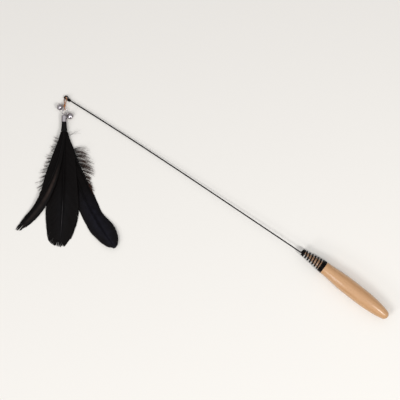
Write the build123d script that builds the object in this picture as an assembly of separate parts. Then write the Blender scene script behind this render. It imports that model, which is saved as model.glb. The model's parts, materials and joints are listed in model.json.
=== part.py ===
from build123d import *
import os
from math import acos, atan, atan2, cos, pi, radians, sin, sqrt

# Handle, turned from one piece of wood. The X axis is its axis and points to the tip of the wand.
grip_radius = 10.15
grip_length = 18.0
front_taper_length = 38.5
shoulder_radius = 8.0
rear_taper_length = 31.0
rear_radius = 7.7
butt_length = 13.1
nose_tip_diameter = 2.2
nose_end_gap = 0.3
nose_edge = 0.4

# Spring wire: a coil round the nose, then the rod, then the eye
wire_diameter = 1.4
tail_bend_radius = 1.4
lead_bend_radius = 1.6
coil_tip_diameter = 8.2
coil_seat_gap = 0.05
turn_gap = 0.5
open_pitch = 3.8
root_turns = 3
open_turns = 6
tip_turns = 1.75
coil_lean = 1.3
quarters = 4
tail_depth = 3.0
tail_hole_gap = 0.1
flex_gap = 0.05
root_length = 60.0
root_heading = 4.0
root_droop = 1.2
shaft_reach = 288.7
shaft_offset = 23.45
tip_heading = 6.4

# Eye at the tip of the wire
eye_bore = 2.3
eye_crossing_gap = 0.79
wrap_gap = 0.05
wrap_turns = 1.5
eye_start_angle = -35
eye_middle_angle = -137
eye_end_angle = -240

# The lure lies on the surface: S runs from the eye towards the feather tips, T to its side, Z up
lure_angle = 127.9

# Thread from the eye to the ring
thread_diameter = 0.7
thread_side_gap = 0.1
thread_loop_radius = 2.3
thread_apex = 0.42
thread_tilt = 53
knot_radius = 1.2
knot_length = 2.2
knot_edge = 0.4
knot_end_share = 0.25
knot_reach = 10.2
knot_side = -1.7
knot_height = 3.1
ring_loop_radius = 1.05

# Ring and its three wire loops
ring_diameter = 8.0
ring_wire_diameter = 0.9
ring_reach = 17.9
ring_side = -1.1
ring_cut = 0.2
ring_cut_angle = 100
loop_wire_diameter = 0.7
loop_arch_radius = 0.95
loop_foot = 0.2
loop_hole_gap = 0.04

# Jingle bells
bell_diameter = 8.0
bell_bead = 0.15
bell_bead_width = 0.8
bell_lap = 0.3
bell_wall = 0.35
bell_seam_gap = 0.05
bell_reach = 8.6
bell_slit_width = 0.7
bell_slit_length = 5.2
bell_hole_diameter = 1.4
bell_left_angle = -133.3
bell_right_angle = 52.0
pellet_diameter = 2.2
pellet_gap = 0.1

# Crimp cap, sleeve and glue
cap_diameter = 7.0
cap_length = 7.75
cap_reach = 22.25
cap_side = -2.1
cap_wall = 0.4
cap_edge = 0.6
plug_gap = 0.35
plug_length = 1.0
plug_clearance = 0.05
sleeve_diameter = 6.0
sleeve_bore = 5.2
sleeve_length = 18.0

# Feathers and plumes
quill_radius = 0.8
quill_spacing = 1.7
plume_quill_radius = 0.5
plume_quill_side = 1.55
plume_quill_drop = 0.3
vane_thickness = 0.5
quill_start_gap = 0.05
quill_taper_share = 0.7
quill_foot_share = 0.7
quill_mid_share = 0.85
quill_under_share = 0.8
vane_fall_share = 0.25

centre_length = 144.5
centre_left_width = 20.4
centre_right_width = 20.7
centre_heading = 0.5
centre_turn = -5.5
centre_camber_share = 0.05
left_length = 134.0
left_outer_width = 8.0
left_inner_width = 10.0
left_heading = -6.3
left_turn = -38.0
left_camber_share = 0.12
right_length = 160.0
right_inner_width = 14.0
right_outer_width = 15.0
right_heading = 9.0
right_turn = 29.1
right_camber_share = 0.04
down_left_length = 84.0
down_left_outer_width = 7.0
down_left_inner_width = 2.0
down_left_heading = -23.0
down_left_turn = 4.0
down_right_length = 72.0
down_right_inner_width = 1.5
down_right_outer_width = 17.0
down_right_heading = 20.0
down_right_turn = 6.0
down_camber_share = 0.04

# One row for each section of a feather: how far along it is, the width of its left and right vane,
# and the height of its shaft, as shares of the length, the two widths and the tassel's height
centre_shares = (
    (0.00, 0.00, 0.00, 1.00),
    (0.12, 0.21, 0.21, 0.97),
    (0.30, 0.60, 0.58, 0.92),
    (0.50, 0.90, 0.88, 0.86),
    (0.63, 0.99, 0.99, 0.74),
    (0.70, 1.00, 1.00, 0.65),
    (0.80, 0.92, 0.91, 0.50),
    (0.90, 0.80, 0.70, 0.36),
    (0.94, 0.72, 0.54, 0.31),
    (0.98, 0.48, 0.32, 0.27),
    (1.00, 0.18, 0.14, 0.25),
)
left_shares = (
    (0.00, 0.00, 0.00, 1.43),
    (0.15, 0.45, 0.24, 1.60),
    (0.32, 0.85, 0.50, 1.66),
    (0.46, 0.85, 0.74, 1.58),
    (0.58, 0.58, 0.90, 1.42),
    (0.68, 0.45, 1.00, 1.18),
    (0.80, 0.34, 1.00, 0.82),
    (0.92, 0.44, 0.82, 0.45),
    (1.00, 0.25, 0.58, 0.29),
)
right_shares = (
    (0.00, 0.00, 0.00, 0.57),
    (0.14, 0.32, 0.29, 0.40),
    (0.29, 0.60, 0.58, 0.29),
    (0.43, 0.82, 0.78, 0.25),
    (0.53, 0.90, 0.84, 0.25),
    (0.63, 0.94, 0.80, 0.28),
    (0.72, 0.98, 0.74, 0.40),
    (0.80, 1.00, 0.92, 0.64),
    (0.865, 0.86, 1.00, 0.88),
    (0.925, 0.69, 0.87, 1.12),
    (0.965, 0.49, 0.67, 1.25),
    (1.00, 0.17, 0.32, 1.35),
)
down_left_shares = (
    (0.00, 0.00, 0.00, 0.92),
    (0.15, 0.55, 0.50, 0.84),
    (0.40, 1.00, 1.00, 0.74),
    (0.70, 0.95, 0.90, 0.62),
    (0.90, 0.60, 0.50, 0.50),
    (1.00, 0.20, 0.20, 0.45),
)
down_right_shares = (
    (0.00, 0.00, 0.00, 1.07),
    (0.12, 0.60, 0.45, 1.06),
    (0.35, 1.00, 0.85, 1.04),
    (0.65, 1.00, 1.00, 1.02),
    (0.88, 0.70, 0.80, 1.00),
    (1.00, 0.20, 0.30, 1.00),
)

# Places that follow from the sizes
wire_radius = wire_diameter / 2
land_front = grip_length / 2
land_back = -grip_length / 2
shoulder_x = land_front + front_taper_length
rear_x = land_back - rear_taper_length
butt_x = rear_x - butt_length
floor_z = -grip_radius
close_pitch = wire_diameter + turn_gap
coil_root_radius = shoulder_radius - wire_radius
coil_tip_radius = coil_tip_diameter / 2 - wire_radius
coil_start_x = shoulder_x + wire_radius + coil_seat_gap
coil_turns = root_turns + open_turns + tip_turns
coil_end_x = coil_start_x + (root_turns + tip_turns) * close_pitch + open_turns * open_pitch
nose_end_x = coil_end_x - wire_radius - nose_end_gap
coil_stop_x = coil_end_x + lead_bend_radius + wire_diameter
flex_side_x = coil_stop_x + flex_gap + wire_radius
flex_side_point = Vector(flex_side_x, coil_lean + lead_bend_radius, -coil_tip_radius)
wrap_radius = wire_radius + wrap_gap + wire_radius
tip_z = floor_z + wrap_radius + wire_radius
eye_radius = eye_bore / 2 + wire_radius
eye_entry = radians(eye_start_angle)
eye_throat = (eye_radius + wire_diameter) * cos(eye_entry)
eye_offset = -(eye_radius + wire_diameter) * sin(eye_entry) - wire_diameter
eye_crossing = eye_throat + eye_crossing_gap
tassel_height = bell_diameter / 2


def tangent_arcs(start, start_way, end, end_way):
    """Two arcs that meet smoothly, leave start along start_way and reach end along end_way."""
    chord = end - start
    square = 2 * (1 - start_way.dot(end_way))
    linear = 2 * chord.dot(start_way + end_way)
    length = chord.dot(chord)
    reach = 2 * length / (linear + sqrt(linear**2 + 4 * square * length))
    first_corner = start + start_way * reach
    second_corner = end - end_way * reach
    middle = (first_corner + second_corner) / 2
    middle_way = (second_corner - first_corner).normalized()
    return [TangentArc(start, middle, tangent=start_way), TangentArc(middle, end, tangent=middle_way)]


def tube(edges, radius):
    path = Wire(edges)
    mouth = Plane(origin=path @ 0, z_dir=path % 0)
    return sweep(mouth * Circle(radius), path=path)


def least_gap(edges, diameter, samples=600):
    """Smallest clear distance between stretches of one tube that aren't neighbours along it."""
    path = Wire(edges)
    points = [path @ (i / samples) for i in range(samples + 1)]
    apart = round(pi * diameter / path.length * samples)
    pairs = ((p, q) for i, p in enumerate(points) for q in points[i + apart :])
    return min((p - q).length for p, q in pairs) - diameter


# Coil: a cone of close, open and close turns that leans to one side, worked out at each quarter turn
def coil_x(turn):
    opened = min(max(turn - root_turns, 0), open_turns)
    return coil_start_x + turn * close_pitch + opened * (open_pitch - close_pitch)


def coil_point(turn):
    x = coil_x(turn)
    along = (x - coil_start_x) / (coil_end_x - coil_start_x)
    radius = coil_root_radius + (coil_tip_radius - coil_root_radius) * along
    lean = coil_lean * along**2
    return Vector(x, lean + radius * cos(2 * pi * turn), radius * sin(2 * pi * turn))


def coil_way(turn):
    if turn == 0:
        return around
    if turn == coil_turns:
        return outward
    step = 1 / quarters
    return (coil_point(turn + step / 2) - coil_point(turn - step / 2)).normalized()


outward = Vector(0, 1, 0)
around = Vector(0, 0, 1)
coil_knots = [i / quarters for i in range(round(coil_turns * quarters) + 1)]
coil_first = coil_point(0)
coil_last = coil_point(coil_turns)
tail_bend = coil_first - (outward + around) * tail_bend_radius
tail_end = tail_bend - outward * (tail_depth + wire_diameter)
tail_edges = [Line(tail_end, tail_bend), TangentArc(tail_bend, coil_first, tangent=outward)]
turn_edges = []
for near, far in zip(coil_knots, coil_knots[1:]):
    turn_edges += tangent_arcs(coil_point(near), coil_way(near), coil_point(far), coil_way(far))
lead_start = coil_last + Vector(lead_bend_radius, lead_bend_radius, 0)
lead_edges = [
    TangentArc(coil_last, lead_start, tangent=outward),
    Line(lead_start, Vector(coil_stop_x, lead_start.Y, lead_start.Z)),
]
coil_edges = tail_edges + turn_edges + lead_edges
spring_coil = tube(coil_edges, wire_radius)
print("spring coil least gap to itself: %.3f mm" % least_gap(coil_edges, wire_diameter))
coil_bends = [edge.radius for edge in coil_edges if edge.geom_type == GeomType.CIRCLE]
print("spring coil tightest bend: %.3f mm" % min(coil_bends))


# Handle: nose, shoulder, front taper, grip land, rear taper and round butt, turned about X
def handle_solid():
    cone_share = (coil_root_radius - coil_tip_radius) / (coil_end_x - coil_start_x)
    seat = wire_radius * sqrt(1 + cone_share**2) + coil_seat_gap
    nose_root = coil_root_radius - seat + cone_share * (coil_start_x - shoulder_x)
    nose_tip = nose_tip_diameter / 2
    backward = Vector(-1, 0, 0)
    shoulder = Vector(shoulder_x, shoulder_radius, 0)
    front = Vector(land_front, grip_radius, 0)
    back = Vector(land_back, grip_radius, 0)
    rear = Vector(rear_x, rear_radius, 0)
    butt = Vector(butt_x, 0, 0)
    rear_fall = 2 * atan((grip_radius - rear_radius) / rear_taper_length)
    rear_way = Vector(-cos(rear_fall), -sin(rear_fall), 0)
    nose = Polyline(
        butt,
        (nose_end_x, 0),
        (nose_end_x, nose_tip - nose_edge),
        (nose_end_x - nose_edge, nose_tip),
        (shoulder_x, nose_root),
        shoulder,
    )
    outline = nose.edges() + tangent_arcs(shoulder, backward, front, backward)
    outline += [Line(front, back), TangentArc(back, rear, tangent=backward)]
    outline += tangent_arcs(rear, rear_way, butt, Vector(0, -1, 0))
    turned = revolve(make_face(outline), axis=Axis.X)
    return turned - tube(tail_edges, wire_radius + tail_hole_gap)


wooden_handle = handle_solid()

# Rod: a straight root, then a shaft that bends gently down to the surface
droop = radians(root_droop)
root_plan = radians(root_heading)
root_way = Vector(cos(root_plan) * cos(droop), sin(root_plan) * cos(droop), -sin(droop))
flex_up_point = flex_side_point + root_way * root_length
root_stop = flex_up_point - root_way * (wire_radius + flex_gap)
tip_plan = radians(tip_heading)
tip_way = Vector(cos(tip_plan), sin(tip_plan), 0)
tip_side = Vector(sin(tip_plan), -cos(tip_plan), 0)
eye_centre = Vector(flex_up_point.X + shaft_reach, flex_up_point.Y + shaft_offset, tip_z)
throat = eye_centre - tip_way * eye_throat - tip_side * eye_offset
shaft_edges = tangent_arcs(flex_up_point, root_way, throat, tip_way)
wire_root = tube([Line(flex_side_point, root_stop)], wire_radius)
wire_root += Pos(flex_side_point) * Sphere(wire_radius)
wire_shaft = tube(shaft_edges, wire_radius)
wire_shaft += Pos(flex_up_point) * Sphere(wire_radius)

# Eye: in its own frame x runs back along the rod and z is up. The wire bends aside, goes round the bore,
# crosses over the rod and winds round it.
eye_frame = Plane(origin=eye_centre, x_dir=-tip_way, z_dir=(0, 0, 1))


def eye_knot(angle):
    turn = radians(angle)
    return Vector(eye_radius * cos(turn), eye_radius * sin(turn), 0), Vector(sin(turn), -cos(turn), 0)


def wrap_knot(turn):
    angle = 2 * pi * turn
    radius = wire_diameter + turn_gap if turn == 1 / quarters else wrap_radius
    rise = close_pitch / (2 * pi * wrap_radius)
    reach = eye_crossing + close_pitch * (turn - 1 / quarters)
    point = Vector(reach, radius * cos(angle) - eye_offset, radius * sin(angle))
    return point, Vector(rise, -sin(angle), cos(angle)).normalized()


eye_knots = [(Vector(eye_throat, -eye_offset, 0), Vector(-1, 0, 0))]
eye_knots += [eye_knot(angle) for angle in (eye_start_angle, eye_middle_angle, eye_end_angle)]
wrap_quarters = round(wrap_turns * quarters)
eye_knots += [wrap_knot((i + 1) / quarters) for i in range(wrap_quarters + 1)]
eye_edges = []
for (near, near_way), (far, far_way) in zip(eye_knots, eye_knots[1:]):
    eye_edges += tangent_arcs(near, near_way, far, far_way)
last_point, last_way = eye_knots[-1]
eye_edges += [Line(last_point, last_point + last_way * wire_diameter)]
tip_eye = eye_frame * tube(eye_edges, wire_radius)
print("eye least gap to itself: %.3f mm" % least_gap(eye_edges, wire_diameter))

# The lure's own frame: x is S, y is T, z is the height over the surface
lure_plan = radians(lure_angle)
lure_frame = Plane(
    origin=(eye_centre.X, eye_centre.Y, floor_z),
    x_dir=(cos(lure_plan), sin(lure_plan), 0),
    z_dir=(0, 0, 1),
)
ring_centre = Vector(ring_reach, ring_side, tassel_height)
ring_radius = (ring_diameter - ring_wire_diameter) / 2
ring_top = ring_centre - Vector(ring_radius, 0, 0)
eye_in_lure = Vector(0, 0, tip_z - floor_z)
knot = Vector(knot_reach, knot_side, knot_height)


def teardrop(frame, centre_reach, radius, point_reach):
    """A round loop whose two straight sides end side by side in a knot at point_reach, in the XY plane."""
    end_reach = point_reach - knot_length * knot_end_share
    end_side = (thread_diameter + thread_side_gap) / 2
    run = Vector(end_reach - centre_reach, end_side, 0)
    touch = atan2(run.Y, run.X) + acos(radius / run.length)
    touch_reach = centre_reach + radius * cos(touch)
    touch_side = radius * sin(touch)

    def spot(reach, side):
        return frame.from_local_coords((reach, side, 0))

    upper = spot(touch_reach, touch_side)
    lower = spot(touch_reach, -touch_side)
    arch = ThreePointArc(upper, spot(centre_reach - radius, 0), lower)
    sides = [Line(spot(end_reach, end_side), upper), Line(lower, spot(end_reach, -end_side))]
    return tube([sides[0], arch, sides[1]], thread_diameter / 2)


def thread_solid():
    eye_line = knot - eye_in_lure
    eye_way = eye_line.normalized()
    level = Vector(0, 0, 1).cross(eye_way).normalized()
    tilt = radians(thread_tilt)
    eye_normal = eye_way.cross(level) * cos(tilt) - level * sin(tilt)
    eye_plane = Plane(origin=eye_in_lure, x_dir=eye_way, z_dir=eye_normal)
    ring_line = knot - ring_top
    ring_way = ring_line.normalized()
    across = ring_way.cross(Vector(0, 0, 1))
    ring_plane = Plane(origin=ring_top, x_dir=ring_way, z_dir=across)
    arch_middle = thread_loop_radius - thread_apex
    eye_loop = teardrop(eye_plane, arch_middle, thread_loop_radius, eye_line.length)
    ring_loop = teardrop(ring_plane, 0, ring_loop_radius, ring_line.length)
    drum = Cylinder(knot_radius, knot_length)
    drum = fillet(drum.edges().filter_by(GeomType.CIRCLE), knot_edge)
    return Plane(origin=knot, z_dir=eye_way) * drum + eye_loop + ring_loop


hanger_thread = thread_solid()


def ring_solid():
    torus = Torus(ring_radius, ring_wire_diameter / 2)
    cut = Pos(ring_radius, 0, 0) * Box(ring_diameter / 2, ring_cut, ring_diameter)
    return Pos(ring_centre) * Rot(0, 0, ring_cut_angle) * (torus - cut)


jump_ring = ring_solid()


upward = (Align.CENTER, Align.CENTER, Align.MIN)


def wire_loop(leg_length):
    """A U of wire round the ring: the middle of its arch is the origin, its legs run along +X."""
    low, high = -loop_arch_radius, loop_arch_radius
    legs = [Line((leg_length, 0, low), (0, 0, low)), Line((0, 0, high), (leg_length, 0, high))]
    arch = ThreePointArc((0, 0, low), (low, 0, 0), (0, 0, high))
    return tube([legs[0], arch, legs[1]], loop_wire_diameter / 2)


def loop_holes(leg_length):
    hole = Rot(0, 90, 0) * Cylinder(loop_wire_diameter / 2 + loop_hole_gap, leg_length, align=upward)
    return Pos(0, 0, loop_arch_radius) * hole + Pos(0, 0, -loop_arch_radius) * hole


# Bell: the origin is on the ring's wire and X runs from the ring through the bell's middle
bell_bead_radius = bell_diameter / 2
bell_radius = bell_bead_radius - bell_bead
bell_inner_radius = bell_radius - bell_seam_gap - bell_wall
bell_middle = bell_reach - ring_radius
bell_leg = bell_middle - sqrt(bell_inner_radius**2 - loop_arch_radius**2) + loop_foot


def half_shell(outer_radius, side):
    ball = Sphere(outer_radius) - Sphere(bell_inner_radius)
    half = Pos(side * bell_diameter / 2, 0, 0) * Box(bell_diameter, bell_diameter, bell_diameter)
    return ball & half


def bell_crown():
    shell = half_shell(bell_radius, -1)
    bead = Cylinder(bell_bead_radius, bell_bead_width) - Cylinder(bell_radius, bell_bead_width)
    bead = Pos(bell_lap - bell_bead_width / 2, 0, 0) * Rot(0, 90, 0) * bead
    bead_root = Cylinder(bell_bead_radius, bell_bead_width - bell_lap) - Sphere(bell_radius - bell_wall / 2)
    bead_root = Pos((bell_lap - bell_bead_width) / 2, 0, 0) * Rot(0, 90, 0) * bead_root
    return shell + bead + (bead_root & half_shell(bell_bead_radius, -1))


def bell_bowl():
    shell = half_shell(bell_radius - bell_seam_gap, 1)
    slit = Box(bell_diameter, bell_slit_length, bell_slit_width)
    slit = Pos(bell_diameter / 2, 0, 0) * slit
    hole = Rot(0, 90, 0) * Cylinder(bell_hole_diameter / 2, bell_diameter, align=upward)
    slit += Pos(0, bell_slit_length / 2, 0) * hole
    slit += Pos(0, -bell_slit_length / 2, 0) * hole
    return shell - slit - Rot(90, 0, 0) * slit


def bell_frame(angle):
    turn = radians(angle)
    contact = ring_centre + Vector(cos(turn), sin(turn), 0) * ring_radius
    return Plane(origin=contact, x_dir=(cos(turn), sin(turn), 0), z_dir=(0, 0, 1))


def bell_pieces(side, angle):
    frame = bell_frame(angle)
    middle = Pos(bell_middle, 0, 0)
    sunk = bell_inner_radius - pellet_diameter / 2 - pellet_gap
    return {
        f"bell_{side}_crown": frame * (middle * bell_crown() - loop_holes(bell_leg)),
        f"bell_{side}_bowl": frame * middle * bell_bowl(),
        f"bell_{side}_shank": frame * wire_loop(bell_leg),
        f"bell_{side}_pellet": frame * middle * Pos(0, 0, -sunk) * Sphere(pellet_diameter / 2),
    }


# Tassel head: cap, its loop, glue and sleeve, all on one axis along S
cap_axis = Plane(origin=(0, cap_side, tassel_height), x_dir=(0, 1, 0), z_dir=(1, 0, 0))
cap_contact = ring_reach + sqrt(ring_radius**2 - (cap_side - ring_side) ** 2)
cap_leg = cap_reach + cap_wall + loop_foot - cap_contact
plug_reach = cap_reach + cap_wall + plug_gap
sleeve_reach = plug_reach + plug_length
mouth_reach = sleeve_reach + sleeve_length
cap_bore_radius = cap_diameter / 2 - cap_wall
cap_loop_place = Pos(cap_contact, cap_side, tassel_height)
cap_cup = Cylinder(cap_diameter / 2, cap_length, align=upward)
cap_cup = fillet(cap_cup.edges().group_by(Axis.Z)[0], cap_edge)
cap_cup -= Pos(0, 0, cap_wall) * Cylinder(cap_bore_radius, cap_length, align=upward)
end_cap = cap_axis * Pos(0, 0, cap_reach) * cap_cup - cap_loop_place * loop_holes(cap_leg)
cap_loop = cap_loop_place * wire_loop(cap_leg)
plug = Cylinder(cap_bore_radius - plug_clearance, plug_length, align=upward)
glue_plug = cap_axis * Pos(0, 0, plug_reach) * plug
sleeve = Cylinder(sleeve_diameter / 2, sleeve_length, align=upward)
sleeve -= Cylinder(sleeve_bore / 2, sleeve_length, align=upward)
quill_sleeve = cap_axis * Pos(0, 0, sleeve_reach) * sleeve


# Feather: sections square to its shaft, from the glue to the tip, joined by straight lines
def feather_section(place, heading, half_height, left, right, camber_share):
    turn = radians(heading)
    side = Vector(-sin(turn), cos(turn), 0)
    lift = Vector(0, 0, 1)
    skin = vane_thickness / 2

    def spot(across, height):
        return place + side * across + lift * height

    def vane(width):
        middle = half_height * quill_mid_share + width / 2
        edge = half_height + width
        fall = camber_share * width
        return middle, -fall * vane_fall_share, edge, -fall

    left_middle, left_middle_fall, left_edge, left_fall = vane(left)
    right_middle, right_middle_fall, right_edge, right_fall = vane(right)
    foot = half_height * quill_foot_share
    under = -half_height * quill_under_share
    corners = [
        spot(-left_edge, left_fall + skin),
        spot(-left_edge, left_fall - skin),
        spot(-left_middle, left_middle_fall - skin),
        spot(-foot, under),
        spot(foot, under),
        spot(right_middle, right_middle_fall - skin),
        spot(right_edge, right_fall - skin),
        spot(right_edge, right_fall + skin),
        spot(right_middle, right_middle_fall + skin),
        spot(foot, half_height * quill_foot_share),
        spot(0, half_height),
        spot(-foot, half_height * quill_foot_share),
        spot(-left_middle, left_middle_fall + skin),
    ]
    return make_face(Polyline(*corners, close=True))


def feather(
    root_side, root_height, radius, heading, turn, length, left_width, right_width, camber_share, shares
):
    root = Vector(sleeve_reach + quill_start_gap, root_side, root_height)
    sections = [feather_section(root, 0, radius, 0, 0, camber_share)]
    bend = length / radians(turn)
    for along, left, right, height in shares:
        now = heading + turn * along
        run = bend * (sin(radians(now)) - sin(radians(heading)))
        drift = bend * (cos(radians(heading)) - cos(radians(now)))
        place = Vector(mouth_reach + run, root_side + drift, tassel_height * height)
        half_height = radius * (1 - quill_taper_share * along)
        facing = now if along else 0
        left_vane = left * left_width
        right_vane = right * right_width
        section = feather_section(place, facing, half_height, left_vane, right_vane, camber_share)
        sections.append(section)
    return loft(sections, ruled=True)


feather_centre = feather(
    cap_side, tassel_height, quill_radius, centre_heading, centre_turn, centre_length,
    centre_left_width, centre_right_width, centre_camber_share, centre_shares,
)
feather_left = feather(
    cap_side, tassel_height + quill_spacing, quill_radius, left_heading, left_turn, left_length,
    left_outer_width, left_inner_width, left_camber_share, left_shares,
)
feather_right = feather(
    cap_side, tassel_height - quill_spacing, quill_radius, right_heading, right_turn, right_length,
    right_inner_width, right_outer_width, right_camber_share, right_shares,
)
down_left = feather(
    cap_side - plume_quill_side, tassel_height - plume_quill_drop, plume_quill_radius, down_left_heading,
    down_left_turn, down_left_length, down_left_outer_width, down_left_inner_width, down_camber_share,
    down_left_shares,
)
down_right = feather(
    cap_side + plume_quill_side, tassel_height + plume_quill_drop, plume_quill_radius, down_right_heading,
    down_right_turn, down_right_length, down_right_inner_width, down_right_outer_width, down_camber_share,
    down_right_shares,
)

lure_pieces = {
    "hanger_thread": hanger_thread,
    "jump_ring": jump_ring,
    "end_cap": end_cap,
    "cap_loop": cap_loop,
    "glue_plug": glue_plug,
    "quill_sleeve": quill_sleeve,
    "feather_left": feather_left,
    "feather_centre": feather_centre,
    "feather_right": feather_right,
    "down_left": down_left,
    "down_right": down_right,
    **bell_pieces("left", bell_left_angle),
    **bell_pieces("right", bell_right_angle),
}
pieces = {
    "wooden_handle": wooden_handle,
    "spring_coil": spring_coil,
    "wire_root": wire_root,
    "wire_shaft": wire_shaft,
    "tip_eye": tip_eye,
    **{name: lure_frame * piece for name, piece in lure_pieces.items()},
}

os.makedirs("parts", exist_ok=True)
for name, piece in pieces.items():
    export_step(piece, f"parts/{name}.step")
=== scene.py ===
# %% [markdown]
# # A cat teaser wand
# The wand lies flat and is seen from straight above. Its handle is turned from beech. One black spring
# wire is wound round the handle's nose, runs out as a thin rod and ends in an eye. From the eye hang a
# ring with two jingle bells and a tassel of black feathers. The CAD solids give every place and size,
# and this lesson dresses them: hard pieces mostly get a finish, soft pieces are made anew.
# Pieces are worked out in millimetres. The frame, the camera and the lights are in metres.

import json
import random
from math import acos, atan2, cos, pi, radians, sin, sqrt, tan

import bmesh
import bpy
from mathutils import Matrix, Quaternion, Vector
from mathutils.geometry import interpolate_bezier


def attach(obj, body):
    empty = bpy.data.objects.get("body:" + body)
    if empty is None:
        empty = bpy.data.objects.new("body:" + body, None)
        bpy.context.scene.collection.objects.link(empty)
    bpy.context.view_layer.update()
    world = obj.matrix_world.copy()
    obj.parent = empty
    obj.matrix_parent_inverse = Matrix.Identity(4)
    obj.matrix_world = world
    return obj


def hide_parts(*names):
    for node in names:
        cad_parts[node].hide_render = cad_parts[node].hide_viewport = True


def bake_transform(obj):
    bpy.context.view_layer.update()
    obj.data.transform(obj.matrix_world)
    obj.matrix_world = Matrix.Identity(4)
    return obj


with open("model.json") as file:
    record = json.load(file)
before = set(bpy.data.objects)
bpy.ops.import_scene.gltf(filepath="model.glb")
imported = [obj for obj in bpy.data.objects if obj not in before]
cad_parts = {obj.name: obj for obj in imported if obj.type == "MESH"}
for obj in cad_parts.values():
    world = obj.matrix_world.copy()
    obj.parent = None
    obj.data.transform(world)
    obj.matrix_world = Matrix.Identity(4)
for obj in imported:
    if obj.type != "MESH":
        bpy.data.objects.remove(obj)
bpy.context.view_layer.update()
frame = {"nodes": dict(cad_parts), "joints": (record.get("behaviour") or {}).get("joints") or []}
nodes = frame["nodes"]
mm = 0.001
hinges = {j["name"]: Vector(j["pos_m"]) / mm for j in frame["joints"] if j["type"] == "hinge"}
floor_z = -10.15
upright = Vector((0, 0, 1))

# %% [markdown]
# ## Camera
# A flat lay is shot from straight above with a long lens, so nothing leans. An orthographic camera would do
# that too, but a long lens 3 m up keeps the slight perspective of a real shot. The camera's own X axis is
# the photograph's left to right, and turning it about Z puts the handle at the lower right.

# %% Camera
scene = bpy.context.scene
camera_height = 3.0
view_width = 0.5
view_middle = Vector((0.2214, 0.0285, -0.006))
photo_turn = 217.9
camera_data = bpy.data.cameras.new("camera")
camera_data.lens = camera_data.sensor_width * camera_height / view_width
camera_data.clip_end = 50
camera = bpy.data.objects.new("camera", camera_data)
camera.location = view_middle + upright * camera_height
camera.rotation_euler = (0, 0, radians(photo_turn))
scene.collection.objects.link(camera)
scene.camera = camera
print("camera lens %.0f mm" % camera_data.lens)

# %% [markdown]
# ## Colours and shader nodes
# Every finish here is a small tree of shader nodes. Colours are picked as sRGB hex codes, and shaders reckon
# in linear light, so one function turns the first into the second. Each node could be added in four or five
# lines. One function that takes a node's links, values and settings keeps a tree short enough to read.
# Hardly any real surface has one even tone, so a last function mottles a surface between two close ones.


# %% Colours and shader nodes
def linear(code):
    """The linear colour that shaders use, from an sRGB hex code."""
    parts = [int(code[i : i + 2], 16) / 255 for i in (1, 3, 5)]
    return [c / 12.92 if c <= 0.04045 else ((c + 0.055) / 1.055) ** 2.4 for c in parts] + [1]


# Sockets 0 to 4 of a Map Range are its value, from min, from max, to min and to max.
# Sockets 0, 6 and 7 of a colour Mix are its share and its two colours, and its output 2 is the result.
def add_node(tree, kind, links=(), values=(), **settings):
    """Adds one shader node with its settings, its fixed values and its links."""
    node = tree.nodes.new(kind)
    for name, value in settings.items():
        setattr(node, name, value)
    for socket, value in dict(values).items():
        node.inputs[socket].default_value = value
    for socket, source in dict(links).items():
        tree.links.new(source, node.inputs[socket])
    return node


def start_material(name, **values):
    """A new material, its node tree and its main shader with the given fixed values."""
    material = bpy.data.materials.new(name)
    material.use_nodes = True
    tree = material.node_tree
    shader = tree.nodes["Principled BSDF"]
    for socket, value in values.items():
        shader.inputs[socket.replace("_", " ")].default_value = value
    print("material:", name)
    return material, tree, shader


def mottle(tree, shader, patch, detail, dark, light):
    """Colours a surface between two tones in patches of so many millimetres, and gives their noise."""
    place = add_node(tree, "ShaderNodeTexCoord").outputs["Object"]
    grain = {"Scale": 1 / (patch * mm), "Detail": detail}
    noise = add_node(tree, "ShaderNodeTexNoise", {"Vector": place}, grain).outputs["Fac"]
    tones = {6: linear(dark), 7: linear(light)}
    tone = add_node(tree, "ShaderNodeMix", {0: noise}, tones, data_type="RGBA").outputs[2]
    tree.links.new(tone, shader.inputs["Base Color"])
    return noise


# %% [markdown]
# ## Floor and light
# The floor is a sheet of pale paper. One big soft light comes from the photograph's lower left, as its
# highlights and shadows show, and a pale sky fills the rest. A small light stands behind the butt, where the
# handle has its one bright glint, and a low one on the key's side gives the bells theirs. A picture of a
# studio could light the scene as well, but a few lights and a ramp of tones are easier to adjust. The sky is
# dark towards the horizon, because bright metal only looks like metal when it has something dark to mirror.

# %% Floor
# Matt paper: an even, pale, slightly warm sheet that takes soft shadows and has no gloss.
paper = start_material("pale_paper", Roughness=0.85, Base_Color=linear("#E9E6E0"))[0]
floor_reach = 20
# The floor lies a hair under the wand, so that no two faces share a plane.
floor_gap = 0.02
builder = bmesh.new()
bmesh.ops.create_grid(builder, x_segments=1, y_segments=1, size=floor_reach)
bmesh.ops.translate(builder, verts=builder.verts, vec=(0, 0, (floor_z - floor_gap) * mm))
floor_mesh = bpy.data.meshes.new("floor")
builder.to_mesh(floor_mesh)
builder.free()
floor_mesh.materials.append(paper)
floor = bpy.data.objects.new("floor", floor_mesh)
scene.collection.objects.link(floor)
print("floor at", floor_z, "mm")


# %% Lights
def area_light(name, place, aim, size, power, tall=1.0):
    """A soft oval light that stands at a place and faces its aim."""
    data = bpy.data.lights.new(name, "AREA")
    data.shape = "ELLIPSE"
    data.size = size
    data.size_y = size * tall
    data.energy = power
    lamp = bpy.data.objects.new(name, data)
    lamp.location = place
    lamp.rotation_euler = (aim - place).to_track_quat("-Z", "Y").to_euler()
    scene.collection.objects.link(lamp)
    print("light:", name, power, "W")


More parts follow.
